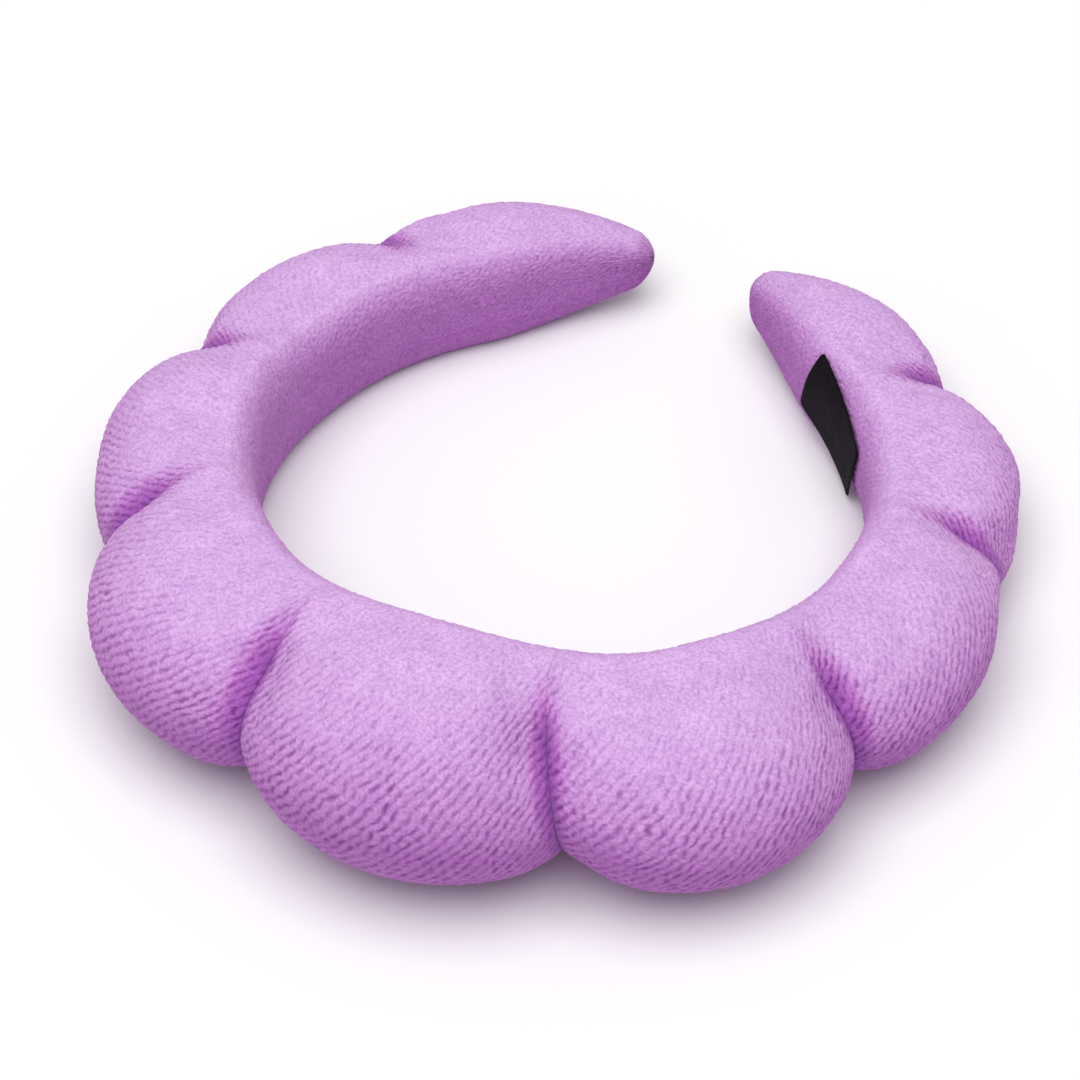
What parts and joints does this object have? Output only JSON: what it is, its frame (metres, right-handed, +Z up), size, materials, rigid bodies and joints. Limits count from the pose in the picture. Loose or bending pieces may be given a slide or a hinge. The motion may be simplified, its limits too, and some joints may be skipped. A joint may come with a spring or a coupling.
{
  "type": "spa headband",
  "caption": "Puffed terry spa headband: soft rounded lobes strung on a springy open hoop, lying on its side.",
  "frame": {"origin": "middle of the footprint, on the surface the headband lies on", "axes": "+Z up through the lying band, -Y towards the crown of the band, +Y towards its open ends, X across the two arms"},
  "size_m": [0.1964, 0.1982, 0.0528],
  "materials": {
    "terry": "knitted terry, matt and slightly fuzzy, lilac",
    "foam": "open-cell foam, matt",
    "spring_strip": "satin polypropylene strip",
    "thread": "twisted polyester thread",
    "label": "black satin tape, blank"
  },
  "bodies": {
    "left_tip": {"cover_left_tip": "terry", "puff_left_tip": "foam", "hoop_left_tip": "spring_strip"},
    "left_rear": {"cover_left_rear": "terry", "puff_left_rear": "foam", "hoop_left_rear": "spring_strip", "pinch_thread_left_tip": "thread"},
    "left_side": {"cover_left_side": "terry", "puff_left_side": "foam", "hoop_left_side": "spring_strip", "pinch_thread_left_rear": "thread"},
    "left_front": {"cover_left_front": "terry", "puff_left_front": "foam", "hoop_left_front": "spring_strip", "pinch_thread_left_side": "thread"},
    "crown": {"cover_crown": "terry", "puff_crown": "foam", "hoop_crown": "spring_strip", "pinch_thread_left_front": "thread", "pinch_thread_right_front": "thread"},
    "right_front": {"cover_right_front": "terry", "puff_right_front": "foam", "hoop_right_front": "spring_strip", "pinch_thread_right_side": "thread"},
    "right_side": {"cover_right_side": "terry", "puff_right_side": "foam", "hoop_right_side": "spring_strip", "pinch_thread_right_rear": "thread"},
    "right_rear": {"cover_right_rear": "terry", "puff_right_rear": "foam", "hoop_right_rear": "spring_strip", "pinch_thread_right_tip": "thread"},
    "right_tip": {"cover_right_tip": "terry", "puff_right_tip": "foam", "hoop_right_tip": "spring_strip", "care_label": "label"}
  },
  "joints": [
    {"name": "left_front_bend", "type": "hinge", "parent": "crown", "child": "left_front", "pos_m": [-0.02413, -0.05142, 0.02], "axis": [0, 0, 1], "range_deg": [-2, 8], "stiffness_Nm_per_rad": 2},
    {"name": "left_side_bend", "type": "hinge", "parent": "left_front", "child": "left_side", "pos_m": [-0.05833, -0.02336, 0.02], "axis": [0, 0, 1], "range_deg": [-1.5, 6]},
    {"name": "left_rear_bend", "type": "hinge", "parent": "left_side", "child": "left_rear", "pos_m": [-0.06792, 0.01881, 0.02], "axis": [0, 0, 1], "range_deg": [-1, 4]},
    {"name": "left_tip_bend", "type": "hinge", "parent": "left_rear", "child": "left_tip", "pos_m": [-0.05166, 0.05723, 0.02], "axis": [0, 0, 1], "range_deg": [-0.6, 2.4]},
    {"name": "right_front_bend", "type": "hinge", "parent": "crown", "child": "right_front", "pos_m": [0.02258, -0.05142, 0.02], "axis": [0, 0, -1], "range_deg": [-2, 8], "stiffness_Nm_per_rad": 2},
    {"name": "right_side_bend", "type": "hinge", "parent": "right_front", "child": "right_side", "pos_m": [0.05758, -0.02201, 0.02], "axis": [0, 0, -1], "range_deg": [-1.5, 6]},
    {"name": "right_rear_bend", "type": "hinge", "parent": "right_side", "child": "right_rear", "pos_m": [0.06613, 0.02089, 0.02], "axis": [0, 0, -1], "range_deg": [-1, 4]},
    {"name": "right_tip_bend", "type": "hinge", "parent": "right_rear", "child": "right_tip", "pos_m": [0.04805, 0.05959, 0.02], "axis": [0, 0, -1], "range_deg": [-0.6, 2.4]}
  ],
  "couplings": [
    {"joint": "left_side_bend", "follows": "left_front_bend", "ratio": 0.75},
    {"joint": "left_rear_bend", "follows": "left_front_bend", "ratio": 0.5},
    {"joint": "left_tip_bend", "follows": "left_front_bend", "ratio": 0.3},
    {"joint": "right_side_bend", "follows": "right_front_bend", "ratio": 0.75},
    {"joint": "right_rear_bend", "follows": "right_front_bend", "ratio": 0.5},
    {"joint": "right_tip_bend", "follows": "right_front_bend", "ratio": 0.3}
  ]
}
